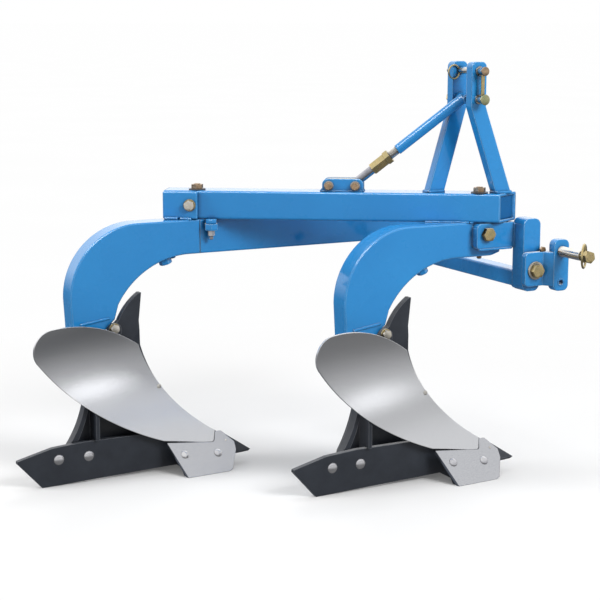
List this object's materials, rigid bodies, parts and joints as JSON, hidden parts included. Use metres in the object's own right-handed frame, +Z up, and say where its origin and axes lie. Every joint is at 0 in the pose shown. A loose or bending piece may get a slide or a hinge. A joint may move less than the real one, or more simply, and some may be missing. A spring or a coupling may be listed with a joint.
{
  "type": "mounted moldboard plough",
  "caption": "Tractor-mounted moldboard plough with goose-neck shanks, turning bodies on a diagonal box beam, a two-leg mast with an adjustable brace and lower hitch pins.",
  "frame": {"origin": "middle of the footprint on the ground", "axes": "+X the way of travel, +Y to the plough's left, +Z up"},
  "size_m": [1.4158, 0.931, 1.112],
  "materials": {
    "frame_paint": "gloss",
    "cap_black": "satin",
    "worked_steel": "brushed",
    "body_black": "satin",
    "pin_steel": "satin",
    "zinc_yellow": "satin"
  },
  "bodies": {
    "root": {"brace_coupling": "zinc_yellow", "brace_lock_nut": "zinc_yellow", "brace_pin": "pin_steel", "brace_rod": "pin_steel", "brace_stud": "zinc_yellow", "brace_tube": "frame_paint", "clevis_front_pin": "zinc_yellow", "clevis_left_plate": "frame_paint", "clevis_rear_pin": "zinc_yellow", "clevis_right_plate": "frame_paint", "front_frog": "body_black", "front_landside": "body_black", "front_moldboard": "worked_steel", "front_nose_point": "body_black", "front_shank": "frame_paint", "front_share": "worked_steel", "left_arm_plate": "frame_paint", "left_linch_pin": "zinc_yellow", "left_link_bracket": "frame_paint", "left_link_pin": "pin_steel", "left_link_sleeve": "pin_steel", "left_rail": "frame_paint", "left_upright": "frame_paint", "lower_cross_bar": "frame_paint", "main_beam": "frame_paint", "main_beam_front_cap": "cap_black", "main_beam_rear_cap": "frame_paint", "mast_front_leg": "frame_paint", "mast_rear_leg": "frame_paint", "pin_keeper": "zinc_yellow", "rear_frog": "body_black", "rear_landside": "body_black", "rear_moldboard": "worked_steel", "rear_nose_point": "body_black", "rear_shank": "frame_paint", "rear_share": "worked_steel", "rear_side_plate": "frame_paint", "right_arm_plate": "frame_paint", "right_linch_pin": "zinc_yellow", "right_link_bracket": "frame_paint", "right_link_pin": "pin_steel", "right_link_sleeve": "pin_steel", "right_upright": "frame_paint", "top_linch_pin": "zinc_yellow", "top_link_pin": "pin_steel"}
  },
  "joints": []
}
